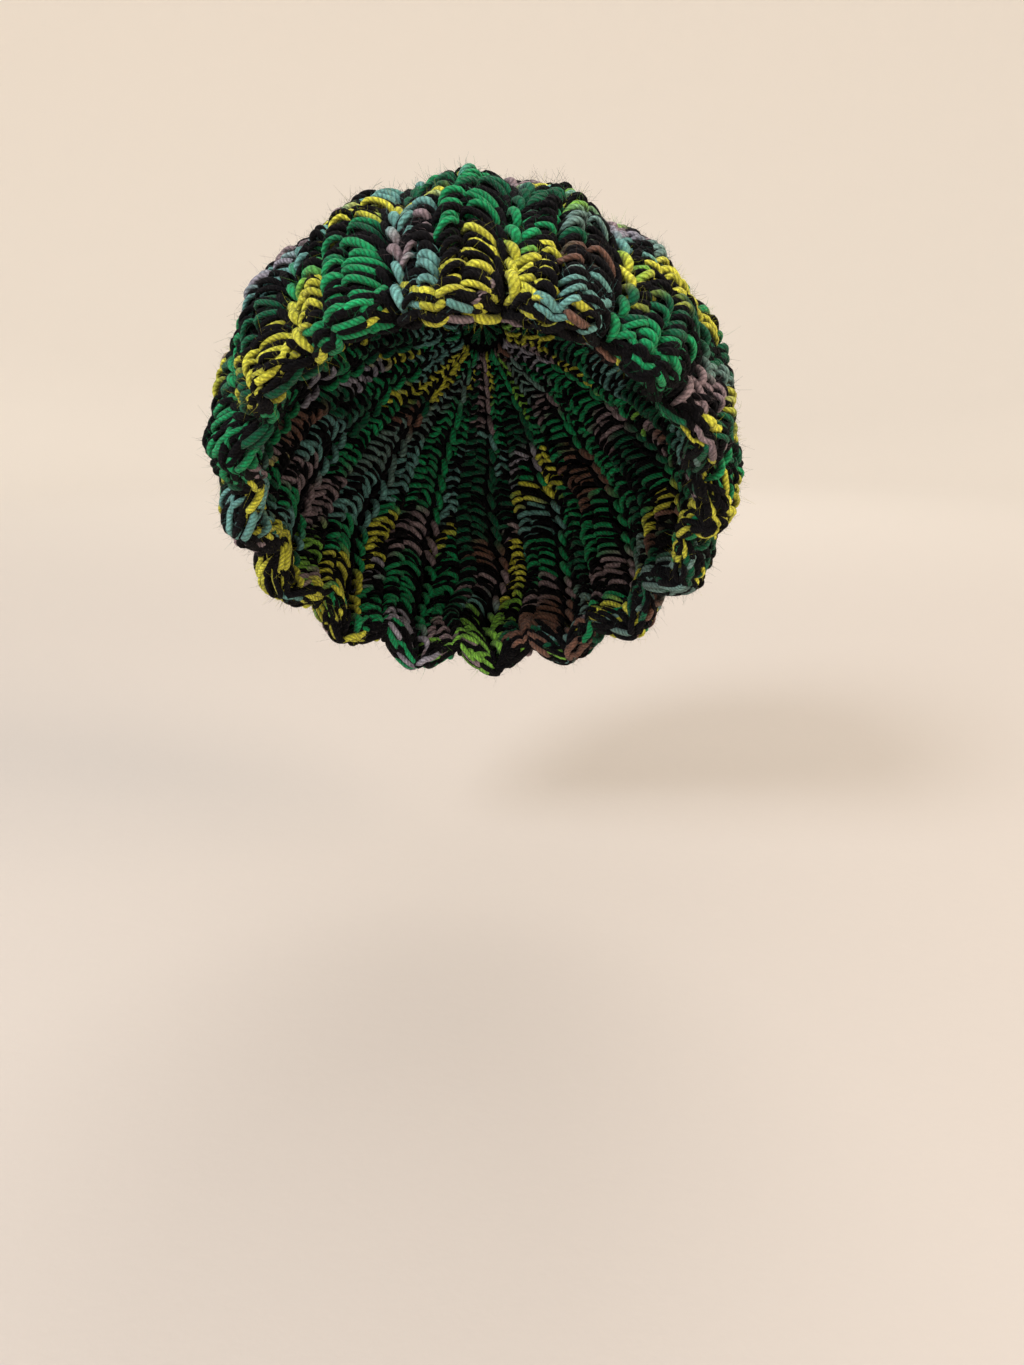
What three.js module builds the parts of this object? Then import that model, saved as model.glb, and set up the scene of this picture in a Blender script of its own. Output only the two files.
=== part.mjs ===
// Chunky ribbed beanie, worked sideways in thick yarn and gathered at the crown.
// Millimetres, +Z up, the face looks towards -Y. The origin is the centre of the head opening.
// The fabric is a corrugated shell on an ellipsoid: each rib is a gore of its own, from the brim
// to the gathered crown, and the crown, or pole, leans back as it does when the hat is worn.
import * as THREE from 'three';

// Driving dimensions
const halfWidth = 98;            // middle of the fabric, ear to ear
const halfDepth = 112;           // middle of the fabric, front to back
const halfHeight = 102;          // middle of the fabric, up and down
const centreBack = 20;           // the ellipsoid's centre behind the origin
const centreUp = 14;             // the ellipsoid's centre above the origin
const crownLean = 54;            // degrees from straight up to the gathered crown
const brimAngle = { front: 108, side: 108, back: 105 };   // degrees from the crown to the brim
const brimCurl = 0.07;           // share of the radius that the brim pulls in
const brimCurlStart = 0.7;       // share of the way from crown to brim where the pull starts

const ribCount = 16;
const firstValley = 0.36;        // the valley right of the middle of the forehead, in rib pitches
const fabricThickness = 9;
const ribWave = 3.5;             // height of the corrugation either side of the middle
const ribGap = 0.3;              // between neighbouring ribs
const brimRound = 7;             // length over which a rib's end rounds off
const brimRoundShare = 0.5;      // thickness left at the very edge

const crownHole = 11;            // radius that the ribs' ends leave at the crown
const crownWaveFade = 60;        // distance from the crown over which the corrugation rises
const gatherYarn = 4.4;          // thickness of the doubled gathering yarn
const knotHeight = 7;
const seamYarn = 3;              // thickness of the sewn seam inside
const seamMargin = 8;            // seam stops this short of the brim's rounding and of the crown
const clearance = 0.35;          // between pieces that touch
const crownSlack = 1;            // room between the ribs' ends and the gathering yarn

// Mesh resolution
const ribStations = 12;
const ribFacets = 6;
const roundStations = 3;
const yarnSides = 8;
const gatherSteps = 24;
const knotSteps = 6;

const crownTilt = THREE.MathUtils.degToRad(crownLean);
const pole = new THREE.Vector3(0, Math.sin(crownTilt), Math.cos(crownTilt));
const forward = new THREE.Vector3(0, -Math.cos(crownTilt), Math.sin(crownTilt));
const rightward = new THREE.Vector3(1, 0, 0);
const centre = new THREE.Vector3(0, centreBack, centreUp);
const radii = new THREE.Vector3(halfWidth, halfDepth, halfHeight);

const group = new THREE.Group();

// Angle between the crown and the brim on the meridian at turn, which is 0 at the forehead.
function brimAngleAt(turn) {
  const mean = (brimAngle.front + 2 * brimAngle.side + brimAngle.back) / 4;
  const frontToBack = (brimAngle.front - brimAngle.back) / 2;
  const sideDrop = (brimAngle.front - 2 * brimAngle.side + brimAngle.back) / 4;
  const degrees = mean + frontToBack * Math.cos(turn) + sideDrop * Math.cos(2 * turn);
  return THREE.MathUtils.degToRad(degrees);
}

// Middle of the fabric: share is 0 at the crown and 1 at the brim.
function fabricMiddle(share, turn) {
  const fromCrown = share * brimAngleAt(turn);
  const outward = new THREE.Vector3()
    .addScaledVector(pole, Math.cos(fromCrown))
    .addScaledVector(forward, Math.sin(fromCrown) * Math.cos(turn))
    .addScaledVector(rightward, Math.sin(fromCrown) * Math.sin(turn));
  const curl = Math.max(0, (share - brimCurlStart) / (1 - brimCurlStart));
  return outward
    .multiply(radii)
    .multiplyScalar(1 - brimCurl * curl * curl)
    .add(centre);
}

// Outward direction square to the middle of the fabric.
function fabricOutward(share, turn) {
  const step = 1e-3;
  const along = fabricMiddle(share + step, turn).sub(fabricMiddle(share - step, turn));
  const across = fabricMiddle(share, turn + step).sub(fabricMiddle(share, turn - step));
  const outward = along.cross(across).normalize();
  const fromCentre = fabricMiddle(share, turn).sub(centre);
  return outward.dot(fromCentre) < 0 ? outward.negate() : outward;
}

function meridianLength(turn) {
  const steps = 60;
  let length = 0;
  for (let i = 0; i < steps; i += 1) {
    length += fabricMiddle(i / steps, turn).distanceTo(fabricMiddle((i + 1) / steps, turn));
  }
  return length;
}

function smooth(x) {
  const t = THREE.MathUtils.clamp(x, 0, 1);
  return t * t * (3 - 2 * t);
}

// Closed skin through a row of rings with equal point counts, with a flat fan at each end.
function loft(rings) {
  const count = rings[0].length;
  const positions = rings.flat().flatMap((p) => [p.x, p.y, p.z]);
  const index = [];
  for (let ring = 0; ring + 1 < rings.length; ring += 1) {
    for (let i = 0; i < count; i += 1) {
      const a = ring * count + i;
      const b = ring * count + (i + 1) % count;
      index.push(a, b + count, b, a, a + count, b + count);
    }
  }
  const last = (rings.length - 1) * count;
  for (let i = 1; i + 1 < count; i += 1) {
    index.push(0, i, i + 1);
    index.push(last, last + i + 1, last + i);
  }
  const geometry = new THREE.BufferGeometry();
  geometry.setAttribute('position', new THREE.Float32BufferAttribute(positions, 3));
  geometry.setIndex(index);
  geometry.computeVertexNormals();
  return geometry;
}

function addPiece(name, geometry, colour, roughness) {
  const material = new THREE.MeshStandardMaterial({ color: colour, roughness, metalness: 0 });
  const mesh = new THREE.Mesh(geometry, material);
  mesh.name = name;
  group.add(mesh);
  return mesh;
}

const ribPitch = 2 * Math.PI / ribCount;
const valleyTurn = (rib) => (rib + firstValley) * ribPitch;

// How far the corrugation lifts the fabric. Position across a rib runs from -1 in one valley,
// over the crest at 0, to 1 in the next valley.
function waveHeight(across, distanceFromCrown) {
  const rise = smooth((distanceFromCrown - crownHole) / crownWaveFade);
  return ribWave * rise * Math.cos(Math.PI * across);
}

// Outline of a rib at one share of the way to the brim: the outer face, then the inner face back.
function ribRing(rib, share, length, thicknessShare) {
  const middle = valleyTurn(rib) + ribPitch / 2;
  const radius = fabricMiddle(share, middle).sub(centre).cross(pole).length();
  const halfAngle = ribPitch / 2 - ribGap / 2 / radius;
  const ring = [];
  for (const side of [1, -1]) {
    for (let i = 0; i <= ribFacets; i += 1) {
      const across = side * (2 * i / ribFacets - 1);
      const turn = middle + across * halfAngle;
      const toFace = side * thicknessShare * fabricThickness / 2;
      const offset = waveHeight(across, share * length) + toFace;
      ring.push(fabricMiddle(share, turn).addScaledVector(fabricOutward(share, turn), offset));
    }
  }
  return ring;
}

// One rib: two worked rows that bulge outwards, from the gathered crown to the rounded brim end.
function addRib(rib) {
  const length = meridianLength(valleyTurn(rib) + ribPitch / 2);
  const start = crownHole / length;
  const roundStart = 1 - brimRound / length;
  const rings = [];
  for (let i = 0; i <= ribStations; i += 1) {
    const share = start + (roundStart - start) * i / ribStations;
    rings.push(ribRing(rib, share, length, 1));
  }
  for (let i = 1; i <= roundStations; i += 1) {
    const way = i / roundStations;
    const thicknessShare = brimRoundShare + (1 - brimRoundShare) * Math.sqrt(1 - way * way);
    rings.push(ribRing(rib, roundStart + (1 - roundStart) * way, length, thicknessShare));
  }
  const tone = new THREE.Color(rib % 2 ? '#1f6b4a' : '#2b2f2c');
  addPiece(`rib_${String(rib + 1).padStart(2, '0')}`, loft(rings), tone, 0.9);
}

// The seam that closes the strip into a tube: yarn whipped along the inside of the back valley.
function addBackSeam() {
  const turn = valleyTurn(Math.round(ribCount / 2 - firstValley));
  const length = meridianLength(turn);
  const start = (crownHole + seamMargin) / length;
  const end = 1 - (brimRound + seamMargin) / length;
  const rings = [];
  for (let i = 0; i <= ribStations; i += 1) {
    const share = start + (end - start) * i / ribStations;
    const outward = fabricOutward(share, turn);
    const sideways = fabricMiddle(share, turn + ribPitch / 2)
      .sub(fabricMiddle(share, turn - ribPitch / 2))
      .projectOnPlane(outward)
      .normalize();
    const sag = seamSag(share, length, turn, (end - start) / ribStations);
    const innerFace = waveHeight(1, share * length) - fabricThickness / 2;
    const depth = innerFace - sag - clearance - seamYarn / 2;
    const middle = fabricMiddle(share, turn).addScaledVector(outward, depth);
    const ring = [];
    for (let j = 0; j < yarnSides; j += 1) {
      const angle = 2 * Math.PI * j / yarnSides;
      ring.push(middle.clone()
        .addScaledVector(sideways, -Math.cos(angle) * seamYarn / 2)
        .addScaledVector(outward, Math.sin(angle) * seamYarn / 2));
    }
    rings.push(ring);
  }
  addPiece('back_seam', loft(rings), '#1a181b', 0.95);
}

// How far a straight facet of a rib cuts inside the curved fabric.
function seamSag(share, length, turn, step) {
  const before = fabricMiddle(share - step / 2, turn);
  const after = fabricMiddle(share + step / 2, turn);
  return before.add(after).multiplyScalar(0.5).distanceTo(fabricMiddle(share, turn));
}

// The crown point on the middle of the fabric, and the way that the fabric faces there.
const crownPoint = fabricMiddle(0, 0);
const crownUp = new THREE.Vector3().copy(pole).divide(radii).normalize();
const crownTurn = new THREE.Quaternion().setFromUnitVectors(new THREE.Vector3(0, 0, 1), crownUp);
const gatherOuterRadius = crownHole - crownSlack;
const knotRadius = gatherOuterRadius - gatherYarn - clearance;

function addAtCrown(name, geometry, colour) {
  const piece = addPiece(name, geometry, colour, 0.95);
  piece.position.copy(crownPoint);
  piece.quaternion.copy(crownTurn);
}

// The gathering yarn: a tight ring of doubled yarn that draws the ribs' ends together.
function addGatherRing() {
  const ringRadius = gatherOuterRadius - gatherYarn / 2;
  const geometry = new THREE.TorusGeometry(ringRadius, gatherYarn / 2, yarnSides, gatherSteps);
  addAtCrown('crown_gather_yarn', geometry, '#1c7a52');
}

// The knot that holds the gathering yarn, in the middle of its ring.
function addCrownKnot() {
  const outline = [];
  for (let i = 0; i <= knotSteps; i += 1) {
    const angle = Math.PI * (i / knotSteps - 0.5);
    const onAxis = i === 0 || i === knotSteps;
    const radius = onAxis ? 0 : knotRadius * Math.cos(angle);
    outline.push(new THREE.Vector2(radius, knotHeight / 2 * Math.sin(angle)));
  }
  const geometry = new THREE.LatheGeometry(outline, 2 * knotSteps);
  geometry.rotateX(Math.PI / 2);
  addAtCrown('crown_knot', geometry, '#1a181b');
}

for (let rib = 0; rib < ribCount; rib += 1) addRib(rib);
addBackSeam();
addGatherRing();
addCrownKnot();

export default group;
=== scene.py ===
import math

import bpy
import numpy as np
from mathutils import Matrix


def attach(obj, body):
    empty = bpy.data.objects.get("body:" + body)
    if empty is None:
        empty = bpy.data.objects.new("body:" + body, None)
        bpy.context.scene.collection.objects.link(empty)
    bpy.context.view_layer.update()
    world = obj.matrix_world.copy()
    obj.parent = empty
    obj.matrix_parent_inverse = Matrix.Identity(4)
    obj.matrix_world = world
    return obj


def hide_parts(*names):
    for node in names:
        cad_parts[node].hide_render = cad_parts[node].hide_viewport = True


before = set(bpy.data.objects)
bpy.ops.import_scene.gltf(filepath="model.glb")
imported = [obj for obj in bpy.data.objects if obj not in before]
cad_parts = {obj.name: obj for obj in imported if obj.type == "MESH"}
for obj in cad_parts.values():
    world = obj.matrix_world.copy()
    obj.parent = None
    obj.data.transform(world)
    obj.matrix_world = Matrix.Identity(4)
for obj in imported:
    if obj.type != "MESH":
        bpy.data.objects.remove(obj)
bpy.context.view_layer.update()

# ---------------------------------------------------------------------------------------------
# The stage: a pale plaster sweep under the hat, soft lamps, and the camera before the brow.
# The hat hangs where a head would hold it, and the floor is as far below it as under a head.
mm = 0.001
table_depth = 186 * mm
eye_place = (14 * mm, -405 * mm, 55 * mm)
eye_pitch = 17.0
eye_lens = 27.0

camera_data = bpy.data.cameras.new("eye")
camera_data.lens = eye_lens
camera_data.sensor_width = 36.0
camera_data.clip_start = 0.01
camera_data.clip_end = 50.0
camera = bpy.data.objects.new("eye", camera_data)
camera.location = eye_place
camera.rotation_euler = (math.radians(90.0 - eye_pitch), 0.0, 0.0)
bpy.context.scene.collection.objects.link(camera)
bpy.context.scene.camera = camera


def linear_colour(hex_code):
    """An sRGB hex value as a linear RGBA colour."""
    values = [int(hex_code[i:i + 2], 16) / 255 for i in (1, 3, 5)]
    return [v / 12.92 if v <= 0.04045 else ((v + 0.055) / 1.055) ** 2.4 for v in values] + [1.0]


def add_node(tree, kind, settings=None, inputs=None):
    """Adds one node, sets its properties, and links or fills its inputs."""
    node = tree.nodes.new(kind)
    for name, value in (settings or {}).items():
        setattr(node, name, value)
    for name, value in (inputs or {}).items():
        if isinstance(value, bpy.types.NodeSocket):
            tree.links.new(value, node.inputs[name])
        else:
            node.inputs[name].default_value = value
    return node


def new_material(name):
    material = bpy.data.materials.new(name)
    material.use_nodes = True
    material.node_tree.nodes.clear()
    return material, material.node_tree


# Painted plaster sweep: a matt skin with a fine rolled grain, so it takes light evenly. It is
# sprayed greyer in the middle, where the lamps are close, and paler out on the wall.
grey_radius, pale_radius = 0.5, 2.6
roller_grain = 4.0 * mm
sweep_plaster, tree = new_material("painted_plaster")
where = add_node(tree, "ShaderNodeTexCoord")
way_out = add_node(tree, "ShaderNodeVectorMath", {"operation": "LENGTH"},
                   {0: where.outputs["Object"]})
outer_share = add_node(tree, "ShaderNodeMapRange", {"interpolation_type": "SMOOTHSTEP"},
                       {"Value": way_out.outputs["Value"], "From Min": grey_radius,
                        "From Max": pale_radius})
coat = add_node(tree, "ShaderNodeMix", {"data_type": "RGBA"}, {
    "Factor": outer_share.outputs[0], 6: linear_colour("#C4BDB6"), 7: linear_colour("#F6F0E8")})
grain = add_node(tree, "ShaderNodeTexNoise", inputs={
    "Vector": where.outputs["Object"], "Scale": 1 / roller_grain, "Detail": 3.0})
bump = add_node(tree, "ShaderNodeBump", inputs={
    "Strength": 0.3, "Distance": 0.5 * mm, "Height": grain.outputs["Fac"]})
shader = add_node(tree, "ShaderNodeBsdfPrincipled", inputs={
    "Base Color": coat.outputs[2], "Roughness": 0.85, "Normal": bump.outputs["Normal"]})
add_node(tree, "ShaderNodeOutputMaterial", inputs={"Surface": shader.outputs["BSDF"]})

# The sweep is a round floor whose edge curves up into a wall, the same from every side.
sweep_radius, sweep_bend, sweep_height = 3.2, 1.2, 2.6
sweep_sides, bend_steps = 96, 12
middle_radius = 0.02
profile = [(middle_radius, 0.0), (sweep_radius - sweep_bend, 0.0)]
for step in range(1, bend_steps + 1):
    bend_angle = step / bend_steps * math.pi / 2
    profile.append((sweep_radius - sweep_bend + sweep_bend * math.sin(bend_angle),
                    sweep_bend - sweep_bend * math.cos(bend_angle)))
profile.append((sweep_radius, sweep_height))
sweep_points = [(r * math.cos(2 * math.pi * i / sweep_sides),
                 r * math.sin(2 * math.pi * i / sweep_sides), z - table_depth)
                for r, z in profile for i in range(sweep_sides)]
sweep_faces = []
for j in range(len(profile) - 1):
    near, far = j * sweep_sides, (j + 1) * sweep_sides
    for i in range(sweep_sides):
        beside = (i + 1) % sweep_sides
        sweep_faces.append((near + i, far + i, far + beside, near + beside))
sweep_faces.append(tuple(range(sweep_sides)))
sweep_mesh = bpy.data.meshes.new("floor_sweep")
sweep_mesh.from_pydata(sweep_points, [], sweep_faces)
sweep_mesh.polygons.foreach_set("use_smooth", [True] * len(sweep_mesh.polygons))
floor_sweep = bpy.data.objects.new("floor_sweep", sweep_mesh)
floor_sweep.data.materials.append(sweep_plaster)
bpy.context.scene.collection.objects.link(floor_sweep)

# Soft light from all round, and three large lamps: a window, the room, and one from behind.
room_strength = 0.85
room_light = bpy.data.worlds.new("room_light")
room_light.use_nodes = True
room_light.node_tree.nodes["Background"].inputs["Color"].default_value = linear_colour("#F1EBE3")
room_light.node_tree.nodes["Background"].inputs["Strength"].default_value = room_strength
bpy.context.scene.world = room_light
bpy.context.scene.view_settings.view_transform = "Standard"


def add_softbox(name, place, aim, size, power, colour):
    """A round soft lamp at a place, aimed at a point."""
    lamp_data = bpy.data.lights.new(name, "AREA")
    lamp_data.shape = "DISK"
    lamp_data.size = size
    lamp_data.energy = power
    lamp_data.color = linear_colour(colour)[:3]
    lamp = bpy.data.objects.new(name, lamp_data)
    lamp.location = place
    direction = np.array(place) - np.array(aim)
    yaw = math.atan2(direction[0], -direction[1])
    tilt = math.acos(direction[2] / np.linalg.norm(direction))
    lamp.rotation_euler = (tilt, 0.0, yaw)
    bpy.context.scene.collection.objects.link(lamp)


hat_middle = (0.0, 0.03, 0.03)
add_softbox("window_softbox", (-1.0, -1.1, 1.25), hat_middle, 0.6, 24.0, "#F6F8FF")
add_softbox("room_softbox", (1.25, -0.6, 0.8), hat_middle, 0.7, 12.0, "#FFEBD6")
add_softbox("back_softbox", (0.2, 1.3, 1.2), hat_middle, 0.9, 10.0, "#FFF8F0")

# ---------------------------------------------------------------------------------------------
# The worked strip: thick yarn worked sideways in rows, two rows to a rib, drawn over a head.
# It is closed at the back, gathered at the crown, and stretched round, so it follows the head.
half_size = np.array([98.0, 112.0, 102.0]) * mm
fabric_centre = np.array([0.0, 20.0, 14.0]) * mm
crown_lean = math.radians(54.0)
brim_front, brim_side, brim_back = (math.radians(a) for a in (108.0, 108.0, 105.0))
brim_curl, brim_curl_start = 0.07, 0.7
rib_count = 16
first_valley = 0.36
half_thickness = 4.5 * mm
rib_wave = 4.2 * mm
crown_hole = 11 * mm
crown_wave_fade = 60 * mm
meridian = 199 * mm
lip_start, lip_closing = 0.955, 0.96
brim_notch = 6.5 * mm
brim_notch_start, brim_notch_fade = 0.8, 0.2
brim_swell, brim_swell_start, brim_swell_fade = 0.4, 0.84, 0.12
dip_depth, dip_place, dip_width = 2.0 * mm, 0.42, 0.05
rib_swing, rib_swing_start, rib_swing_fade = 0.11, 0.1, 0.3
rib_roundness = 0.75
broad_lump, fine_lump = 1.7 * mm, 1.0 * mm

pole = np.array([0.0, math.sin(crown_lean), math.cos(crown_lean)])
forward = np.array([0.0, -math.cos(crown_lean), math.sin(crown_lean)])
rightward = np.array([1.0, 0.0, 0.0])


def fabric_middle(share, turn):
    """Middle of the fabric: share is 0 at the crown and 1 at the brim, turn is 0 at the brow."""
    mean = (brim_front + 2 * brim_side + brim_back) / 4
    front_to_back = (brim_front - brim_back) / 2
    side_drop = (brim_front - 2 * brim_side + brim_back) / 4
    angle = share * (mean + front_to_back * np.cos(turn) + side_drop * np.cos(2 * turn))
    outward = (np.cos(angle)[..., None] * pole
               + (np.sin(angle) * np.cos(turn))[..., None] * forward
               + (np.sin(angle) * np.sin(turn))[..., None] * rightward)
    curl = np.maximum(0.0, (share - brim_curl_start) / (1 - brim_curl_start))
    return fabric_centre + outward * half_size * (1 - brim_curl * curl ** 2)[..., None]


def unit(v):
    return v / np.maximum(np.linalg.norm(v, axis=-1, keepdims=True), 1e-12)


def smooth(x):
    t = np.clip(x, 0.0, 1.0)
    return t * t * (3 - 2 * t)


def wander(share, rib, seed, finest):
    """A smooth hand-made unevenness from -1 to 1, the same all round the closed tube."""
    draw = np.random.default_rng(seed)
    total = np.zeros(np.broadcast(share, rib).shape)
    waves = 9
    for _ in range(waves):
        around = draw.integers(1, finest)
        along, phase, phase2 = draw.uniform(1.0, finest * 0.6), *draw.uniform(0, 2 * np.pi, 2)
        total = total + (np.sin(2 * np.pi * around * rib / rib_count + phase)
                         * np.sin(2 * np.pi * along * share + phase2))
    return total / (waves / 2)


def ridge_line(phase):
    """Round on its back and sharp in its valleys: -1 at whole numbers and 1 halfway."""
    return 2 * np.abs(np.sin(np.pi * phase)) ** rib_roundness - 1


def on_fabric(share, rib, height):
    """A point at a rib position, whole numbers in the valleys, and its outward direction."""
    share, rib, height = np.broadcast_arrays(share, rib, height)
    swing = rib_swing * wander(share, rib, 3, 7)
    swing = swing * smooth((share - rib_swing_start) / rib_swing_fade)
    turn = (rib + swing + first_valley) * 2 * np.pi / rib_count
    # The brim draws up a little in each valley, and its ribs end round.
    notch = brim_notch / meridian * (1 - ridge_line(rib)) / 2
    notch = notch * smooth((share - brim_notch_start) / brim_notch_fade)
    share = share - notch
    step = 1e-3
    along = fabric_middle(share + step, turn) - fabric_middle(share - step, turn)
    across = fabric_middle(share, turn + step) - fabric_middle(share, turn - step)
    outward = unit(np.cross(along, across))
    middle = fabric_middle(share, turn)
    outward *= np.sign(((middle - fabric_centre) * outward).sum(-1, keepdims=True))
    lump = broad_lump * wander(share, rib, 5, 9) + fine_lump * wander(share, rib, 8, 24)
    return middle + outward * (height + lump)[..., None], outward


def wave_rise(share):
    """How far the ribs have opened: flat where they are gathered, fullest at the brim."""
    swell = 1 + brim_swell * smooth((share - brim_swell_start) / brim_swell_fade)
    return smooth((share * meridian - crown_hole) / crown_wave_fade) * swell


def row_dip(phase, share):
    """The shallow dip along a rib where its second row is worked into its first."""
    across = phase - np.floor(phase)
    return dip_depth * np.exp(-((across - dip_place) / dip_width) ** 2) * wave_rise(share)


def face_heights(share, rib):
    """Heights of the outer and inner faces, which close over a round lip at the brim."""
    wave = rib_wave * wave_rise(share)
    outer = half_thickness + wave * ridge_line(rib) - row_dip(rib, share)
    inner = -half_thickness - wave * ridge_line(rib + 0.5) + row_dip(0.5 - rib, share)
    lip = np.clip((share - lip_start) / (1.0 - lip_start), 0.0, 1.0)
    closing = np.sqrt(1 - lip_closing * lip ** 2)
    middle = (outer + inner) / 2
    return middle + (outer - middle) * closing, middle + (inner - middle) * closing


def add_mesh_piece(name, points, faces, material):
    """Makes a piece from point and equal-length face arrays, riding on the one body."""
    mesh = bpy.data.meshes.new(name)
    corners = faces.shape[1]
    mesh.vertices.add(len(points))
    mesh.vertices.foreach_set("co", points.astype(np.float32).ravel())
    mesh.loops.add(faces.size)
    mesh.loops.foreach_set("vertex_index", faces.astype(np.int32).ravel())
    mesh.polygons.add(len(faces))
    mesh.polygons.foreach_set("loop_start", np.arange(0, faces.size, corners, dtype=np.int32))
    mesh.polygons.foreach_set("use_smooth", np.full(len(faces), True))
    mesh.update(calc_edges=True)
    mesh.validate()
    piece = bpy.data.objects.new(name, mesh)
    piece.data.materials.append(material)
    bpy.context.scene.collection.objects.link(piece)
    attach(piece, "root")
    return piece


# ---------------------------------------------------------------------------------------------
# The yarn: spun acrylic, four plies twisted together, two strands worked as one all the way.
# One strand is black, the other is dyed in runs, and both are lofty, matt and a little fuzzy.
ply_spacing = 1.8 * mm
plies = 4
slack_patch, fleck_size, blend_patch = 3.0 * mm, 0.9 * mm, 4.0 * mm


def make_worsted(name, sheen, groove_painted_shade):
    """Four-ply acrylic: shade painted between the plies, flecked fibres, sheen of loose ends."""
    material, tree = new_material(name)
    # The dye attribute holds the yarn's dye, with shade painted on each strand's flanks and ends.
    dye = add_node(tree, "ShaderNodeAttribute", {"attribute_name": "dye"})
    strand_map = add_node(tree, "ShaderNodeUVMap", {"uv_map": "strand"})
    lie = add_node(tree, "ShaderNodeSeparateXYZ", inputs={"Vector": strand_map.outputs["UV"]})
    where = add_node(tree, "ShaderNodeTexCoord")
    slackness = add_node(tree, "ShaderNodeTexNoise", inputs={
        "Vector": where.outputs["Object"], "Scale": 1 / slack_patch, "Detail": 2.0})
    # The strand map holds turns round the strand in X and centimetres along it in Y.
    turns = add_node(tree, "ShaderNodeMath", {"operation": "MULTIPLY_ADD"},
                     {0: lie.outputs["X"], 1: float(plies), 2: slackness.outputs["Fac"]})
    twist = add_node(tree, "ShaderNodeMath", {"operation": "MULTIPLY_ADD"},
                     {0: lie.outputs["Y"], 1: 10 * mm / ply_spacing, 2: turns.outputs[0]})
    ply = add_node(tree, "ShaderNodeMath", {"operation": "PINGPONG"}, {0: twist.outputs[0], 1: 0.5})
    ply_back = add_node(tree, "ShaderNodeMapRange", {"interpolation_type": "SMOOTHSTEP"},
                        {"Value": ply.outputs[0], "From Min": 0.0, "From Max": 0.4})
    fibres = add_node(tree, "ShaderNodeTexNoise", inputs={
        "Vector": where.outputs["Object"], "Scale": 1 / fleck_size, "Detail": 5.0,
        "Roughness": 0.75})
    blending = add_node(tree, "ShaderNodeTexNoise", inputs={
        "Vector": where.outputs["Object"], "Scale": 1 / blend_patch, "Detail": 2.0})
    # Painted shade: the dye is darkened in the grooves between the plies and made lighter on the
    # ply backs.
    painted_groove_shade = add_node(tree, "ShaderNodeMapRange", inputs={
        "Value": ply_back.outputs[0], "To Min": groove_painted_shade, "To Max": 1.22})
    fleck = add_node(tree, "ShaderNodeMapRange", inputs={
        "Value": fibres.outputs["Fac"], "From Min": 0.3, "From Max": 0.7,
        "To Min": 0.5, "To Max": 1.5})
    patch = add_node(tree, "ShaderNodeMapRange", inputs={
        "Value": blending.outputs["Fac"], "From Min": 0.3, "From Max": 0.7,
        "To Min": 0.7, "To Max": 1.16})
    shade = add_node(tree, "ShaderNodeMath", {"operation": "MULTIPLY"},
                     {0: painted_groove_shade.outputs[0], 1: fleck.outputs[0]})
    painted_shade_and_tone = add_node(tree, "ShaderNodeMath", {"operation": "MULTIPLY"},
                     {0: shade.outputs[0], 1: patch.outputs[0]})
    dyed = add_node(tree, "ShaderNodeVectorMath", {"operation": "SCALE"},
                    {0: dye.outputs["Color"], "Scale": painted_shade_and_tone.outputs[0]})
    relief = add_node(tree, "ShaderNodeMath", {"operation": "MULTIPLY_ADD"},
                      {0: fibres.outputs["Fac"], 1: 2.6, 2: ply_back.outputs[0]})
    bump = add_node(tree, "ShaderNodeBump", inputs={
        "Strength": 0.85, "Distance": 0.4 * mm, "Height": relief.outputs[0]})
    shader = add_node(tree, "ShaderNodeBsdfPrincipled", inputs={
        "Base Color": dyed.outputs[0], "Roughness": 0.95, "Sheen Weight": sheen,
        "Sheen Roughness": 0.5, "Specular IOR Level": 0.05, "Normal": bump.outputs["Normal"]})
    add_node(tree, "ShaderNodeOutputMaterial", inputs={"Surface": shader.outputs["BSDF"]})
    return material


dyed_worsted = make_worsted("dyed_acrylic_worsted", 0.14, 0.66)
black_worsted = make_worsted("black_acrylic_worsted", 0.03, 0.7)

dyes = {name: np.array(linear_colour(code)[:3]) for name, code in {
    "lime": "#DCDB4A", "leaf": "#86C64C", "green": "#1A9C60", "pine": "#0E5F40",
    "teal": "#6FA9A3", "mist": "#71938C", "lilac": "#A29EAC", "mauve": "#97848A",
    "brown": "#7C5A4C", "black": "#100F12"}.items()}
stitches = 42
rows = 2 * rib_count
dye_order = ["green", "lime", "teal", "mauve", "pine", "green", "leaf", "lilac", "mauve", "brown",
             "green", "mist", "lime", "green", "pine", "mauve", "teal", "pine", "green", "pine"]

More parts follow.
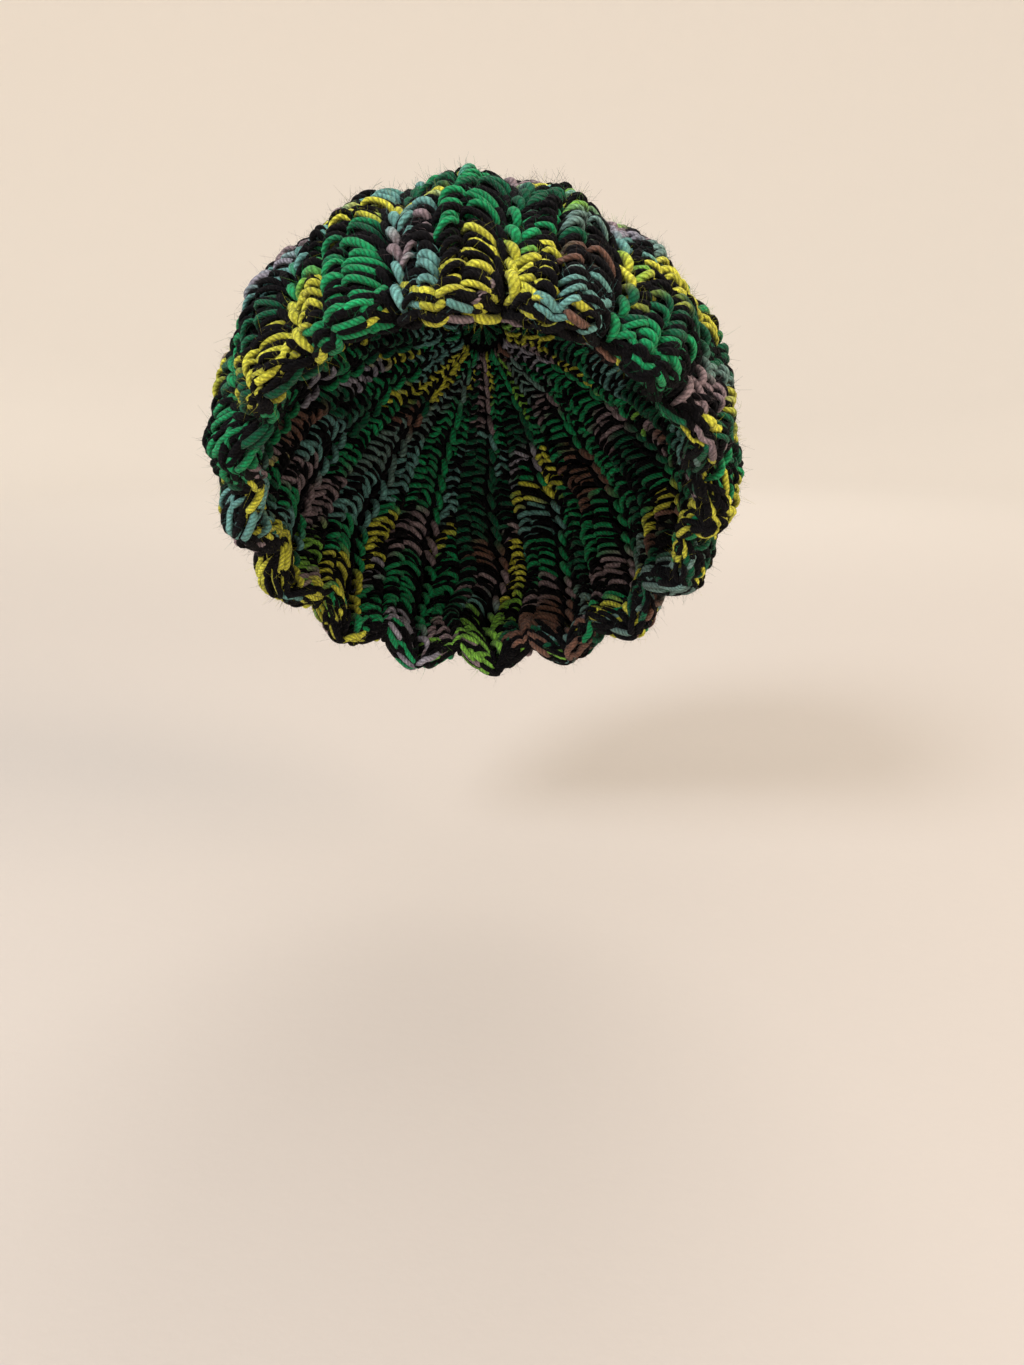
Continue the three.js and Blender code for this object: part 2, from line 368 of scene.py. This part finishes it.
# The rows seen over the brow, from the brim up: each run's dye and how many fortieths of the
# whole row it lasts.
row_steps = 40
shortest_run, longest_run = 2, 8
brow_rows = {
    20: "lime2 teal3 pine3 green3 lime2", 21: "lime2 pine3 teal3 green3 mauve3",
    22: "mauve2 teal3 pine3 lime2 mauve3", 23: "teal2 lime2 green3 mist3 pine3",
    24: "pine3 green4 teal2 lime3 green3", 25: "green4 pine4 lime3 mauve2 green4",
    26: "pine1 lime2 green4 lilac3 teal2 lime2", 27: "lime3 pine3 teal3 lilac2 teal3",
    28: "lime4 leaf1 green3 teal3 mauve2 lime3", 29: "green5 pine2 green2 lime3 teal3 pine3",
    30: "teal3 mauve3 teal3 lime2 pine4 green3", 31: "lime4 green6 pine3 green3 teal3",
    0: "lime4 leaf1 green4 pine5 teal2 lime2", 1: "teal3 brown3 pine2 mist3 leaf1 lime3 teal2",
    2: "green2 pine2 lime4 leaf1 teal3 lilac3 mauve3", 3: "green3 pine4 lime4 mist4 mauve3",
    4: "mauve3 mist3 pine3 lime3 green3 mist2", 5: "pine3 lime2 mist3 pine4 green3",
    6: "green3 pine3 lime2 green3 pine3", 7: "lime4 green3 pine4 teal3 pine3",
    8: "pine3 lime3 mist3 pine4 green3", 9: "mist3 pine4 brown2 lime3 green3",
}


def unwound_runs():
    """The dye at every stitch of every row: as the ball unwinds, or as set over the brow."""
    draw = np.random.default_rng(11)
    unwound = []
    while len(unwound) < rows * stitches:
        step = int(draw.integers(0, len(dye_order)))
        unwound += [dye_order[step]] * int(draw.integers(shortest_run, longest_run + 1))
    table = []
    for row in range(rows):
        names = unwound[row * stitches:(row + 1) * stitches]
        seen = []
        for run in brow_rows.get(row, "").split():
            name = run.rstrip("0123456789")
            seen += [name] * int(run[len(name):])
        if seen:
            shown = [seen[i * row_steps // stitches]
                     for i in range(len(seen) * stitches // row_steps)]
            names[-len(shown):] = shown[::-1]
        table.append([dyes[name] for name in names])
    return np.array(table)


run_colours = unwound_runs()


def dye_at(row, stitch):
    """The dyed yarn's colour at a fractional stitch of a row, blended over part of a stitch."""
    low = np.clip(np.floor(stitch), 0, stitches - 1).astype(int)
    high = np.clip(low + 1, 0, stitches - 1)
    mix = smooth(stitch - low)[..., None]
    return run_colours[row % rows, low] * (1 - mix) + run_colours[row % rows, high] * mix


end_width, next_width = 0.35, 0.8
strand_flatness = 0.92
# Painted shade on each strand: how far in from its ends it fades, and how it falls over its flanks.
painted_shade_end, painted_shade_flank, painted_shade_flank_fade = 0.22, 0.4, 1.2


def strand_mesh(lines, outward, radius, colours, material_index, sides=8, darkest_painted_shade=0.26):
    """Round strands along lines of equal point count. Each is a closed body, rounded at its ends.

    lines and outward are (strand, station, 3), radius is (strand, station) or less. Shade is
    painted into the dye on a strand's flanks and at its ends, down to darkest_painted_shade.
    """
    count, stations = lines.shape[:2]
    tangent = unit(np.gradient(lines, axis=1))
    sideways = unit(np.cross(tangent, outward))
    upward = unit(np.cross(sideways, tangent))
    taper = np.ones(stations)
    taper[[0, -1]] = end_width
    taper[[1, -2]] = next_width
    radii = np.broadcast_to(radius, (count, stations)) * taper
    angle = np.arange(sides) * 2 * np.pi / sides
    ring = (lines[:, :, None, :] + radii[:, :, None, None] * (
        np.cos(angle)[:, None] * sideways[:, :, None, :]
        + strand_flatness * np.sin(angle)[:, None] * upward[:, :, None, :]))
    index = np.arange(count * stations * sides).reshape(count, stations, sides)
    turned = np.roll(index, -1, axis=2)
    walls = np.stack([index[:, :-1], turned[:, :-1], turned[:, 1:], index[:, 1:]], -1)
    first, last = index[:, 0], index[:, -1]
    caps = []
    for j in range(sides // 2 - 1):
        corners = [-j % sides, j + 1, j + 2, sides - 1 - j]
        caps.append(np.stack([first[:, c] for c in corners[::-1]], -1))
        caps.append(np.stack([last[:, c] for c in corners], -1))
    caps = np.stack(caps, 1)
    length = np.concatenate([np.zeros((count, 1)), np.cumsum(
        np.linalg.norm(np.diff(lines, axis=1), axis=-1), axis=1)], axis=1)
    start = np.random.default_rng(count + stations).uniform(0, 5, (count, 1))
    shape = (count, stations - 1, sides)
    turn = np.arange(sides) / sides
    across = np.broadcast_to(np.stack([turn, turn + 1 / sides, turn + 1 / sides, turn], -1),
                             shape + (4,))
    centimetres = length / (10 * mm) + start
    low = np.broadcast_to(centimetres[:, :-1, None], shape)
    high = np.broadcast_to(centimetres[:, 1:, None], shape)
    along = np.stack([low, low, high, high], -1)
    fraction = length / length[:, -1:]
    low = np.broadcast_to(fraction[:, :-1, None], shape)
    high = np.broadcast_to(fraction[:, 1:, None], shape)
    filled = np.stack([low, low, high, high], -1)
    wall_count, cap_count = (stations - 1) * sides, caps.shape[1]
    faces = np.concatenate([walls.reshape(count, wall_count, 4), caps], 1)
    strand_uv = np.concatenate([
        np.stack([across, along], -1).reshape(count, wall_count, 4, 2),
        np.zeros((count, cap_count, 4, 2))], 1)
    cell_uv = np.concatenate([
        np.stack([across, filled], -1).reshape(count, wall_count, 4, 2),
        np.zeros((count, cap_count, 4, 2))], 1)
    # Painted shade: the dye is darkened on each strand's flanks and towards its ends, where
    # neighbours shade it.
    ends = np.minimum(np.arange(stations), np.arange(stations)[::-1]) / (stations - 1)
    end_painted_light = smooth(ends / painted_shade_end)
    flank_painted_light = smooth((np.sin(angle) + painted_shade_flank) / painted_shade_flank_fade)
    painted_light_share = darkest_painted_shade + (1 - darkest_painted_shade) * np.outer(end_painted_light, flank_painted_light)
    dye = colours[:, :, None, :] * painted_light_share[:, :, None]
    return dict(points=ring.reshape(-1, 3), faces=faces.reshape(-1, 4), count=count,
                strand_uv=strand_uv, cell_uv=cell_uv, dye=dye.reshape(-1, 3),
                material_index=np.full(count * faces.shape[1], material_index),
                rings=ring, lines=lines)


def add_yarn_piece(name, parts, materials):
    """Joins strands to one piece, with its strand map, its dye, and a bake map of its own."""
    starts = np.cumsum([0] + [len(p["points"]) for p in parts[:-1]])
    points = np.concatenate([p["points"] for p in parts])
    faces = np.concatenate([p["faces"] + start for p, start in zip(parts, starts)])
    piece = add_mesh_piece(name, points, faces, materials[0])
    for material in materials[1:]:
        piece.data.materials.append(material)
    piece.data.polygons.foreach_set("material_index", np.concatenate(
        [p["material_index"] for p in parts]).astype(np.int32))
    strand_layer = piece.data.uv_layers.new(name="strand")
    strand_layer.data.foreach_set("uv", np.concatenate(
        [p["strand_uv"].ravel() for p in parts]).astype(np.float32))
    # Each strand gets one cell of a square grid, so that no two share a place in the bake map.
    columns = math.ceil(math.sqrt(sum(p["count"] for p in parts)))
    margin = 0.06
    cells, first = [], 0
    for p in parts:
        cell = (np.arange(p["count"]) + first)[:, None, None]
        corner = np.stack([cell % columns, cell // columns], -1)
        inset = margin + (1 - 2 * margin) * p["cell_uv"]
        cells.append(((corner + inset) / columns).ravel())
        first += p["count"]
    bake_layer = piece.data.uv_layers.new(name="OFBake")
    bake_layer.data.foreach_set("uv", np.concatenate(cells).astype(np.float32))
    # The dye attribute holds each strand's dye with the shade painted on its flanks and ends.
    dye = piece.data.color_attributes.new("dye", "FLOAT_COLOR", "POINT")
    rgb = np.concatenate([p["dye"] for p in parts])
    dye.data.foreach_set("color", np.column_stack([rgb, np.ones(len(rgb))]).astype(
        np.float32).ravel())
    return piece


# ---------------------------------------------------------------------------------------------
# The ribs: two worked rows each. Every stitch shows as four short doubled loops side by side,
# leaning towards each other like fishbone, and each loop's ends dive under its neighbours.
# Each kind says where it starts and ends across the rib, how many millimetres it climbs to the
# crown, how much it arches, how proud it stands, its row, and how many stitches its dye lags.
loop_kinds = [
    dict(start=0.05, end=0.27, climb=4.4, arch=0.4, proud=0.9, row=0, lag=-0.8),
    dict(start=0.19, end=0.44, climb=-2.8, arch=1.0, proud=0.4, row=0, lag=0.8),
    dict(start=0.39, end=0.66, climb=3.0, arch=0.7, proud=0.8, row=1, lag=-0.8),
    dict(start=0.58, end=0.97, climb=-4.4, arch=2.0, proud=0.5, row=1, lag=0.8),
]
crown_share, brim_share = 0.066, 0.985
stitch_pitch = (brim_share - crown_share) / stitches
loop_stations = 11
outer_sides, inner_sides = 8, 6
thinnest, thickest = 1.05 * mm, 1.6 * mm
deepest_dive, dive_end = 4.4 * mm, 0.27
end_plumpness = 0.7
crown_scale, crown_scale_start, crown_scale_fade = 0.6, 0.08, 0.3
last_share = 0.998
strands_apart, strand_lead = 0.5, 0.12
dyed_on_top_share = 0.55
top_rise, under_rise = 0.7, -1.2

# How far a loop strays from its place: in stitches along its row and for its dye, in rib widths
# for its ends, and in millimetres for the rest.
loop_strays = dict(stitch=0.16, aside=0.1, dye=0.7, end=0.05, climb=2.8, arch=0.9, wobble=0.6,
                   tilt=1.0)
draw = np.random.default_rng(21)
yarn_parts = {rib: [] for rib in range(rib_count)}
fuzzy_parts = {rib: [] for rib in range(rib_count)}


def strand_scale(share):
    """Loops are drawn tight and thin where the rows bunch up at the crown."""
    opened = smooth((share - crown_scale_start) / crown_scale_fade)
    return crown_scale + (1 - crown_scale) * opened


def ends_dive(q, room):
    """How far a loop's ends sink into the fabric, up to its middle."""
    ends = (1 - smooth(q / dive_end)) + (1 - smooth((1 - q) / dive_end))
    return np.minimum(deepest_dive, 0.9 * room) * ends


def plumpness(q):
    """A loop is full in its middle, where nothing presses it, and thinner at its ends."""
    return end_plumpness + (1 - end_plumpness) * np.sin(np.pi * q) ** 0.6


def stray(most, column):
    """How far each loop is from its place, up to the most either way."""
    return draw.uniform(-most, most, column)


def lay_on_face(share, position, inside, sink):
    """Points sunk below the outer or inner face, and the direction out of that face."""
    outer, inner = face_heights(share, position)
    sunk = sink((outer - inner) / 2)
    if inside:
        points, outward = on_fabric(share, position, inner + sunk)
        return points, -outward
    return on_fabric(share, position, outer - sunk)


def worked_loops(rib, kind, inside):
    """All loops of one kind along one rib: a dyed strand and a black one in each stitch."""
    q = np.linspace(0, 1, loop_stations)[None, :]
    column = (stitches, 1)
    stitch = np.arange(stitches)[:, None] + 0.5 + stray(loop_strays["stitch"], column)
    dyed_on_top = draw.random(column) < dyed_on_top_share
    parts = []
    for strand in (0, 1):
        on_top = dyed_on_top == (strand == 0)
        aside = strands_apart * strand - strand_lead + stray(loop_strays["aside"], column)
        start = kind["start"] + stray(loop_strays["end"], column)
        end = kind["end"] + stray(loop_strays["end"], column)
        across = start + (end - start) * q
        climb = (kind["climb"] + stray(loop_strays["climb"], column)) * (q - 0.5)
        arch = kind["arch"] + stray(loop_strays["arch"], column)
        arch = arch * (4 * q * (1 - q) - 0.6)
        wobble = stray(loop_strays["wobble"], column) * np.sin(2 * np.pi * q)
        share = crown_share + (stitch + aside) * stitch_pitch
        share = np.minimum(share - (climb + arch + wobble) * mm / meridian, last_share)
        position = rib + (1.5 - across if inside else across)
        radius = draw.uniform(thinnest, thickest, column) * strand_scale(share) * plumpness(q)
        rise = np.where(on_top, top_rise, under_rise) + kind["proud"]
        rise = rise + draw.uniform(-0.8, 0.7, column)
        tilt = stray(loop_strays["tilt"], column) * (q - 0.5)
        height = (rise * np.sin(np.pi * q) + tilt) * mm * strand_scale(share)
        points, outward = lay_on_face(
            share, position, inside, lambda room: radius - height + ends_dive(q, room))
        if strand == 0:
            along_row = stitch - 0.5 + kind["lag"] + stray(loop_strays["dye"], column)
            colours = dye_at(2 * rib + kind["row"], along_row + 0.8 * (q - 0.5))
            colours = colours * draw.uniform(0.78, 1.1, column)[..., None]
        else:
            colours = np.broadcast_to(dyes["black"], points.shape)
        parts.append(strand_mesh(points, outward, radius, colours, strand,
                                 inner_sides if inside else outer_sides))
    return parts


for rib in range(rib_count):
    for kind in loop_kinds:
        for inside in (False, True):
            loops = worked_loops(rib, kind, inside)
            yarn_parts[rib] += loops
            if not inside:
                fuzzy_parts[rib] += loops

# Where a row ends at the brim, the yarn turns round the fabric's edge into the next row, so
# each rib's end is closed by short doubled loops that lie round it in rings like a fist.
turning_angles = np.radians([22, 56, 90])
turning_spans = [(0.0, 0.33), (0.22, 0.55), (0.45, 0.8), (0.68, 1.0)]
turning_lean = 0.35
turning_hang = 7 * mm
turning_thinnest, turning_thickest = 1.15 * mm, 1.75 * mm
stitches_at_turning = 5


def brim_turnings(rib, inside):
    """The doubled loops round one rib's end, on its outer or its inner half."""
    q = np.linspace(0, 1, loop_stations)[None, :]
    column = (len(turning_angles) * len(turning_spans), 1)
    ring = np.repeat(turning_angles, len(turning_spans))[:, None]
    span = np.tile(turning_spans, (len(turning_angles), 1))
    lean = np.where(np.arange(len(ring))[:, None] % 2 == 0, turning_lean, -turning_lean)
    side = -1 if inside else 1
    parts = []
    for strand in (0, 1):
        angle = ring + np.radians(16 * strand) + stray(0.22, column)
        angle = angle + (lean + stray(0.5, column)) * (q - 0.5)
        start = span[:, :1] + stray(0.03, column)
        across = start + (span[:, 1:] + stray(0.03, column) - start) * q
        position = rib + (1.5 - across if inside else across)
        lip = (1 - lip_start) * meridian
        hang = turning_hang * np.abs(2 * across - 1) ** 2.2 + stray(1.8, column) * mm
        share = lip_start + (lip * np.sin(angle) - hang) / meridian
        outer, inner = face_heights(np.full_like(share, lip_start - 0.01), position)
        middle, half = (outer + inner) / 2, (outer - inner) / 2
        radius = draw.uniform(turning_thinnest, turning_thickest, column) * plumpness(q)
        sunk = np.minimum(0.8 * ends_dive(q, 4 * mm) / half, 0.8)
        reach = (half - 0.4 * mm) * np.cos(angle) * (1 - sunk)
        share = share - sunk * 3.5 * mm * np.sin(angle) / meridian
        points, outward = on_fabric(share, position, middle + side * reach)
        along = unit(points - on_fabric(share - 0.01, position, middle + side * reach)[0])
        facing = side * outward * np.cos(angle)[..., None] + along * np.sin(angle)[..., None]
        if strand == 0:
            row = 2 * rib + (draw.random(len(ring)) < 0.75)
            last_few = stitches - 1 - draw.integers(0, stitches_at_turning, len(ring))
            colours = run_colours[row % rows, last_few][:, None] + 0 * points
            colours = colours * draw.uniform(0.75, 1.1, column)[..., None]
        else:
            colours = np.broadcast_to(dyes["black"], points.shape)
        parts.append(strand_mesh(points, unit(facing), radius, colours, strand))
    return parts


for rib in range(rib_count):
    turnings = brim_turnings(rib, False) + brim_turnings(rib, True)
    yarn_parts[rib] += turnings
    fuzzy_parts[rib] += turnings
    piece = add_yarn_piece(f"rib_{rib + 1:02d}_loops", yarn_parts[rib],
                           [dyed_worsted, black_worsted])
    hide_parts(f"rib_{rib + 1:02d}")

# ---------------------------------------------------------------------------------------------
# The free loops in the valleys: each row is worked into the back of the row before, so the
# front halves of its stitches stay loose as a slanting chain that runs down every valley.
chain_radius = 1.9 * mm
chain_reach = 2.7
chain_slant = 0.13
chain_sides = (0.04, -0.06)
chain_lift, black_drop = 2.7, 1.6
stitches_to_chain_loop = 2
valleys_to_piece = 4


def valley_chain(rib, inside):
    """The doubled loops that slant down one valley, on the outer or the inner face."""
    q = np.linspace(0, 1, loop_stations)[None, :]
    first_stitches = np.arange(0, stitches, stitches_to_chain_loop)[:, None]
    column = first_stitches.shape
    stitch = first_stitches + stitches_to_chain_loop / 2 + stray(0.4, column)
    parts = []
    for strand in (0, 1):
        aside = chain_sides[strand] + stray(0.02, column)
        share = crown_share + (stitch + (q - 0.5) * chain_reach + 0.3 * strand) * stitch_pitch
        share = np.clip(share, crown_share * 0.9, last_share)
        across = aside + (q - 0.5) * (chain_slant + stray(0.04, column))
        radius = (chain_radius * (1 - 0.2 * strand) * strand_scale(share)
                  * draw.uniform(0.85, 1.1, column) * (0.75 + 0.25 * np.sin(np.pi * q)))
        lift = ((chain_lift - black_drop * strand + stray(0.6, column)) * mm
                * np.sin(np.pi * q) ** 0.8 * strand_scale(share))
        position = rib + (0.5 - across if inside else across)
        points, outward = lay_on_face(
            share, position, inside, lambda room: ends_dive(q, room) + 0.3 * mm - lift)
        if strand == 0:
            colours = dye_at(2 * rib + inside, stitch - 0.5 + 1.2 * (q - 0.5))
            colours = colours * draw.uniform(0.85, 1.1, column)[..., None]
        else:
            colours = np.broadcast_to(dyes["black"], points.shape)
        parts.append(strand_mesh(points, outward, radius, colours, strand,
                                 inner_sides if inside else outer_sides))
    return parts


for first in range(0, rib_count, valleys_to_piece):
    chain_parts = []
    for rib in range(first, first + valleys_to_piece):
        chain = valley_chain(rib, False)
        fuzzy_parts[rib] += chain
        chain_parts += chain + valley_chain(rib, True)
    add_yarn_piece(f"valley_chains_{first // valleys_to_piece + 1}", chain_parts,
                   [dyed_worsted, black_worsted])

# ---------------------------------------------------------------------------------------------
# The posts of the stitches: the yarn between the two faces, packed so close that it is one web.
# Only its shade shows between the loops, and it keeps light from passing through the fabric.
web_rows, web_columns = 90, rib_count * 12
web_start, web_end = 0.045, 0.985
web_thickest, web_room = 1.4 * mm, 0.3
web_share = np.linspace(web_start, web_end, web_rows)[:, None]
web_rib = np.linspace(0, rib_count, web_columns, endpoint=False)[None, :]
outer, inner = face_heights(web_share, web_rib)
web_middle = (outer + inner) / 2
web_half = np.minimum(web_thickest, web_room * (outer - inner))
upper, _ = on_fabric(web_share, web_rib, web_middle + web_half)
lower, _ = on_fabric(web_share, web_rib, web_middle - web_half)
grid = np.arange(web_rows * web_columns).reshape(web_rows, web_columns)
across = np.roll(grid, -1, axis=1)
top = np.stack([grid[:-1], grid[1:], across[1:], across[:-1]], -1).reshape(-1, 4)
under = np.stack([grid[:-1], across[:-1], across[1:], grid[1:]], -1).reshape(-1, 4) + grid.size
crown_rim = np.stack([grid[0], across[0], across[0] + grid.size, grid[0] + grid.size], -1)
brim_rim = np.stack([grid[-1], grid[-1] + grid.size, across[-1] + grid.size, across[-1]], -1)

# The posts in painted shade: their dyed and black yarn is drawn near-black, as deep shade.
packed_fibre = 1.2 * mm
packed_worsted_in_painted_shade, tree = new_material("stitch_posts_painted_shade")
where = add_node(tree, "ShaderNodeTexCoord")
fibres = add_node(tree, "ShaderNodeTexNoise", inputs={
    "Vector": where.outputs["Object"], "Scale": 1 / packed_fibre, "Detail": 4.0})
bump = add_node(tree, "ShaderNodeBump", inputs={
    "Strength": 1.0, "Distance": 0.6 * mm, "Height": fibres.outputs["Fac"]})
shader = add_node(tree, "ShaderNodeBsdfPrincipled", inputs={
    "Base Color": linear_colour("#0A080A"), "Roughness": 0.95, "Specular IOR Level": 0.1,
    "Normal": bump.outputs["Normal"]})
add_node(tree, "ShaderNodeOutputMaterial", inputs={"Surface": shader.outputs["BSDF"]})
web_points = np.concatenate([upper.reshape(-1, 3), lower.reshape(-1, 3)])
web_faces = np.concatenate([top, under, crown_rim, brim_rim])
web = add_mesh_piece("stitch_posts_web", web_points, web_faces, packed_worsted_in_painted_shade)

# ---------------------------------------------------------------------------------------------
# The gathering at the crown: doubled yarn whipped round through every rib's end and drawn up,
# crossed over the hole to close it, and tied off in a small knot with two short tails.
crown_point = fabric_centre + pole * half_size
crown_up = unit(pole / half_size)
crown_forward = np.cross(crown_up, rightward)
whip_radius, whip_yarn = 10.4 * mm, 1.45 * mm
whip_reach, whip_rise = 3.6 * mm, 3.0 * mm


def at_crown(right, front, up):
    """A point or points laid out on the crown, in metres from the middle of the hole."""
    right, front, up = np.broadcast_arrays(right, front, up)
    return (crown_point + right[..., None] * rightward + front[..., None] * crown_forward
            + up[..., None] * crown_up)


def crown_strands(right, front, up, radius, dye, material_index):
    """Strands of one dye laid out on the crown, with their backs to the sky."""
    lines = at_crown(right, front, up)
    outward = np.broadcast_to(crown_up, lines.shape)
    colours = np.broadcast_to(dyes[dye], lines.shape)
    return strand_mesh(lines, outward, radius, colours, material_index)


gather_pair = ((0, "green"), (1, "black"))
whip_stations = 15
whip_turn = (np.arange(rib_count)[:, None] + first_valley + 0.5) * 2 * np.pi / rib_count
whip_parts = []
for strand, dye in gather_pair:
    q = np.linspace(0, 1, whip_stations)[None, :]
    around = 2 * np.pi * (0.62 * q - 0.1)
    turn = whip_turn + (q - 0.5) * 0.5 + 0.16 * strand + stray(0.04, (rib_count, 1))
    reach = whip_radius - whip_reach * np.cos(around)
    up = whip_rise * np.sin(around) - 0.4 * mm
    whip_parts.append(crown_strands(
        reach * np.sin(turn), reach * np.cos(turn), up, whip_yarn, dye, strand))

# Two layers of four crossings each close the hole, the later layer lower than the first.
crossing_angles = np.radians([8, 52, 97, 141, 30, 75, 120, 165])
crossings_to_layer = 4
crossing = np.arange(len(crossing_angles))[:, None]
crossing_reach, crossing_spacing, crossing_rise = 8.6 * mm, 2.4 * mm, 2.4 * mm
for strand, dye in gather_pair:
    q = np.linspace(-1, 1, whip_stations)[None, :]
    angle = crossing_angles[:, None] + 0.25 * strand
    beside = (crossing % crossings_to_layer - 1.5) * crossing_spacing + 1.2 * mm * strand
    reach = crossing_reach * q
    up = (crossing_rise * (1 - q ** 2) - 1.6 * mm
          - 0.7 * mm * (crossing // crossings_to_layer))
    whip_parts.append(crown_strands(
        reach * np.cos(angle) - beside * np.sin(angle),
        reach * np.sin(angle) + beside * np.cos(angle), up, whip_yarn, dye, strand))
gather = add_yarn_piece("crown_gather_whipping", whip_parts, [dyed_worsted, black_worsted])
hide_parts("crown_gather_yarn")

# The knot is a trefoil, and each of its two strands ends in a tail that curls beside it.
knot_stations = 96
knot_yarn, tail_yarn = 1.3 * mm, 1.2 * mm
tail_start, tail_length, tail_curl = 3 * mm, 11 * mm, 3 * mm
knot_parts = []
for strand, dye in gather_pair:
    t = np.linspace(0, 2 * np.pi, knot_stations)[None, :] + 0.06
    spread = (1.75 - 0.3 * strand) * mm
    turned = 0.45 * strand
    right = spread * (np.sin(t) + 2 * np.sin(2 * t))
    front = spread * (np.cos(t) - 2 * np.cos(2 * t))
    up = 1.6 * mm * np.sin(3 * t) + 2.6 * mm - 0.5 * mm * strand
    knot_parts.append(crown_strands(
        right * np.cos(turned) - front * np.sin(turned),
        right * np.sin(turned) + front * np.cos(turned), up, knot_yarn, dye, strand))
    q = np.linspace(0, 1, whip_stations)[None, :]
    tail_turn = 0.9 + 2.6 * strand
    reach = tail_start + tail_length * q
    curl = tail_curl * np.sin(2.6 * q)
    knot_parts.append(crown_strands(
        reach * np.sin(tail_turn) + curl * np.cos(tail_turn),
        reach * np.cos(tail_turn) - curl * np.sin(tail_turn),
        (3.4 - 0.4 * q) * mm, tail_yarn, dye, strand))
knot = add_yarn_piece("crown_knot_tied", knot_parts, [dyed_worsted, black_worsted])
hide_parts("crown_knot")

# ---------------------------------------------------------------------------------------------
# The seam at the back: the strip's two ends are whipped together on the inside with the same
# doubled yarn, one slanting stitch over each pair of stitches, from the brim to the crown.
seam_valley = rib_count // 2
seam_stitches = 26
seam_start, seam_span = 0.1, 0.84
seam_slant, seam_yarn = 0.3, 1.5 * mm
seam_parts = []
for strand, dye in ((0, "pine"), (1, "black")):
    q = np.linspace(0, 1, loop_stations)[None, :]
    column = (seam_stitches, 1)
    stitch = np.arange(seam_stitches)[:, None] + 0.5 + stray(0.12, column)
    along_seam = stitch + 0.32 * strand + 0.5 * (q - 0.5)
    share = seam_start + seam_span * along_seam / seam_stitches
    position = seam_valley + seam_slant * (q - 0.5) * (0.5 + 0.5 * strand_scale(share))
    _, inner = face_heights(share, position)
    height = inner + ends_dive(q, 4 * mm) - 0.6 * mm * np.sin(np.pi * q)
    points, outward = on_fabric(share, position, height)
    colours = np.broadcast_to(dyes[dye], points.shape)
    seam_parts.append(strand_mesh(
        points, -outward, seam_yarn * strand_scale(share), colours, strand))
seam = add_yarn_piece("back_seam_whipstitch", seam_parts, [dyed_worsted, black_worsted])
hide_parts("back_seam")

# ---------------------------------------------------------------------------------------------
# The fuzz: loose acrylic fibres that work out of the twist and stand off the strands by a few
# millimetres. They are a little coarser than real ones, so that they show as a soft edge.
fibre_radius = 0.045 * mm
shortest, longest = 1.0 * mm, 4.4 * mm
fibre_scatter, fibre_bow = 0.55, 0.5
fading_patch = 5.0 * mm
fibres_to_rib = 3800
fibre_stations = 3
ribs_to_fibre_piece = 2

loose_fibre, tree = new_material("loose_acrylic_fibre")
dye = add_node(tree, "ShaderNodeAttribute", {"attribute_name": "dye"})
where = add_node(tree, "ShaderNodeTexCoord")
fading = add_node(tree, "ShaderNodeTexNoise", inputs={
    "Vector": where.outputs["Object"], "Scale": 1 / fading_patch})
paler = add_node(tree, "ShaderNodeMapRange", inputs={
    "Value": fading.outputs["Fac"], "To Min": 0.7, "To Max": 1.5})
tinted = add_node(tree, "ShaderNodeVectorMath", {"operation": "SCALE"},
                  {0: dye.outputs["Color"], "Scale": paler.outputs[0]})
shader = add_node(tree, "ShaderNodeBsdfPrincipled", inputs={
    "Base Color": tinted.outputs[0], "Roughness": 0.7, "Specular IOR Level": 0.2})
add_node(tree, "ShaderNodeOutputMaterial", inputs={"Surface": shader.outputs["BSDF"]})


def loose_fibres(parts, count):
    """Bowed fibres that leave the outer sides of some of the strands."""
    lengths = np.array([p["rings"].shape[0] for p in parts])
    chosen = draw.choice(len(parts), count, p=lengths / lengths.sum())
    roots, ways, tints = [], [], []
    for index, part in enumerate(parts):
        wanted = int((chosen == index).sum())
        strands, stations, sides = part["rings"].shape[:3]
        pick = (draw.integers(0, strands, wanted), draw.integers(2, stations - 2, wanted),
                draw.integers(0, sides // 2 + 1, wanted))
        root = part["rings"][pick]
        roots.append(root)
        ways.append(unit(root - part["lines"][pick[0], pick[1]]))
        # Each fibre takes the colour of its strand where it leaves it, painted shade included.
        tints.append(part["dye"].reshape(part["rings"].shape)[pick])
    root, way, tint = np.concatenate(roots), np.concatenate(ways), np.concatenate(tints)
    way = unit(way + fibre_scatter * draw.normal(size=way.shape))
    bow = fibre_bow * draw.normal(size=way.shape)
    length = shortest + (longest - shortest) * draw.random((count, 1, 1)) ** 2
    t = np.linspace(-0.1, 1, fibre_stations)[None, :, None]
    lines = root[:, None] + length * (t * way[:, None] + t ** 2 * bow[:, None])
    facing = np.broadcast_to(unit(np.cross(way, bow))[:, None], lines.shape)
    colours = np.broadcast_to((0.6 * tint + 0.006)[:, None], lines.shape)
    return strand_mesh(lines, facing, fibre_radius, colours, 0, sides=4, darkest_painted_shade=1.0)


for first in range(0, rib_count, ribs_to_fibre_piece):
    fuzz_parts = [loose_fibres(fuzzy_parts[rib], fibres_to_rib)
                  for rib in range(first, first + ribs_to_fibre_piece)]
    add_yarn_piece(f"loose_fibres_{first // ribs_to_fibre_piece + 1}", fuzz_parts, [loose_fibre])

bpy.context.view_layer.update()
